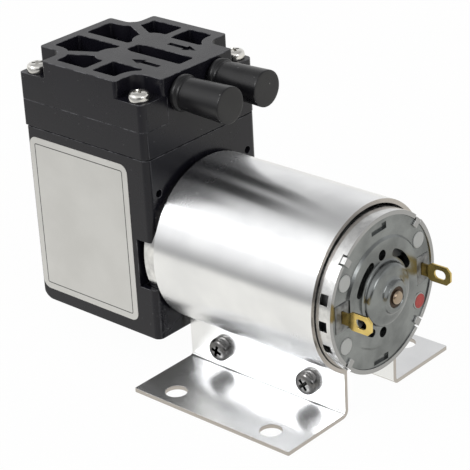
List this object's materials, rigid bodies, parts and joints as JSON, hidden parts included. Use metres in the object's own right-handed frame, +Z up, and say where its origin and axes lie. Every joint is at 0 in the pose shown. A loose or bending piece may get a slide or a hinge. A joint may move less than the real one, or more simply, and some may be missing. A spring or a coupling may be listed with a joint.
{
  "type": "mini vacuum pump",
  "caption": "Small diaphragm vacuum pump: ribbed black head with two capped hose nozzles, driven by a brushed DC motor in a bent sheet clamp bracket with feet",
  "frame": {"origin": "centre of the four foot holes, on the underside of the feet", "axes": "+X runs along the motor's shaft from the head to the motor's terminals, +Z up from the feet to the head cover, +Y away from the label side"},
  "size_m": [0.0955, 0.0564, 0.0688],
  "materials": {
    "black_plastic": "moulded, satin with a fine grain",
    "cap_rubber": "semi-gloss moulded rubber",
    "valve_rubber": "smooth moulded rubber",
    "bright_screw": "nickel-plated",
    "dark_screw": "dark nickel-plated",
    "label_sheet": "printed film, left blank",
    "bright_sheet": "bright-rolled sheet",
    "can_steel": "nickel-plated deep-drawn steel",
    "end_cap_metal": "satin grey pressed steel",
    "card_plastic": "moulded, light grey",
    "red_paint": "paint dot",
    "brass_tab": "stamped brass",
    "bush_bronze": "sintered bronze",
    "magnet": "sintered ferrite",
    "spring_steel": "rolled spring steel",
    "shaft_steel": "ground steel",
    "core_steel": "stacked laminations",
    "copper": "enamelled winding wire",
    "commutator_copper": "turned copper segments",
    "brush_carbon": "pressed carbon",
    "crank_metal": "die-cast metal",
    "race_steel": "polished bearing steel",
    "rod_plastic": "moulded acetal",
    "diaphragm_rubber": "fabric-backed rubber"
  },
  "bodies": {
    "housing": {"head_cover": "black_plastic", "valve_body": "black_plastic", "valve_sheet": "valve_rubber", "head_screws": "bright_screw", "crankcase": "black_plastic", "rating_label": "label_sheet", "clamp_bracket": "bright_sheet", "bracket_screws": "dark_screw", "bracket_nuts": "dark_screw", "motor_can": "can_steel", "front_bush": "bush_bronze", "rear_bush": "bush_bronze", "motor_end_cap": "end_cap_metal", "brush_card": "card_plastic", "polarity_mark": "red_paint", "terminals": "brass_tab", "magnets": "magnet", "magnet_clips": "spring_steel", "brushes": "brush_carbon", "brush_arms": "brass_tab", "motor_screws": "dark_screw", "diaphragm": "diaphragm_rubber"},
    "rotor": {"motor_shaft": "shaft_steel", "armature_core": "core_steel", "windings": "copper", "commutator": "commutator_copper", "eccentric": "crank_metal", "eccentric_set_screw": "dark_screw", "bearing_inner_race": "race_steel"},
    "rod": {"connecting_rod": "rod_plastic", "bearing_outer_race": "race_steel", "bearing_rollers": "race_steel", "clamp_disc": "crank_metal", "diaphragm_screw": "bright_screw"},
    "inlet_flap": {"inlet_flap": "valve_rubber"},
    "outlet_flap": {"outlet_flap": "valve_rubber"},
    "inlet_cap": {"inlet_cap": "cap_rubber"},
    "outlet_cap": {"outlet_cap": "cap_rubber"}
  },
  "joints": [
    {"name": "rotor_spin", "type": "hinge", "parent": "housing", "child": "rotor", "pos_m": [0, 0, 0.02775], "axis": [1, 0, 0], "continuous": true, "deforming": ["diaphragm"]},
    {"name": "rod_pivot", "type": "hinge", "parent": "rotor", "child": "rod", "pos_m": [-0.0427, 0, 0.02575], "axis": [1, 0, 0], "continuous": true},
    {"name": "inlet_flap_bend", "type": "hinge", "parent": "housing", "child": "inlet_flap", "pos_m": [-0.04965, -0.00597, 0.0586], "axis": [0, 1, 0], "range_deg": [0, 12], "stiffness_Nm_per_rad": 0.0001, "springref_deg": -2.86},
    {"name": "outlet_flap_bend", "type": "hinge", "parent": "housing", "child": "outlet_flap", "pos_m": [-0.04965, 0.00597, 0.0586], "axis": [0, -1, 0], "range_deg": [0, 12], "stiffness_Nm_per_rad": 0.0001, "springref_deg": -2.86},
    {"name": "inlet_cap_pull", "type": "slide", "parent": "housing", "child": "inlet_cap", "axis": [1, 0, 0], "range_m": [0, 0.04]},
    {"name": "outlet_cap_pull", "type": "slide", "parent": "housing", "child": "outlet_cap", "axis": [1, 0, 0], "range_m": [0, 0.04]}
  ],
  "couplings": [
    {"joint": "rod_pivot", "follows": "rotor_spin", "ratio": -1}
  ]
}
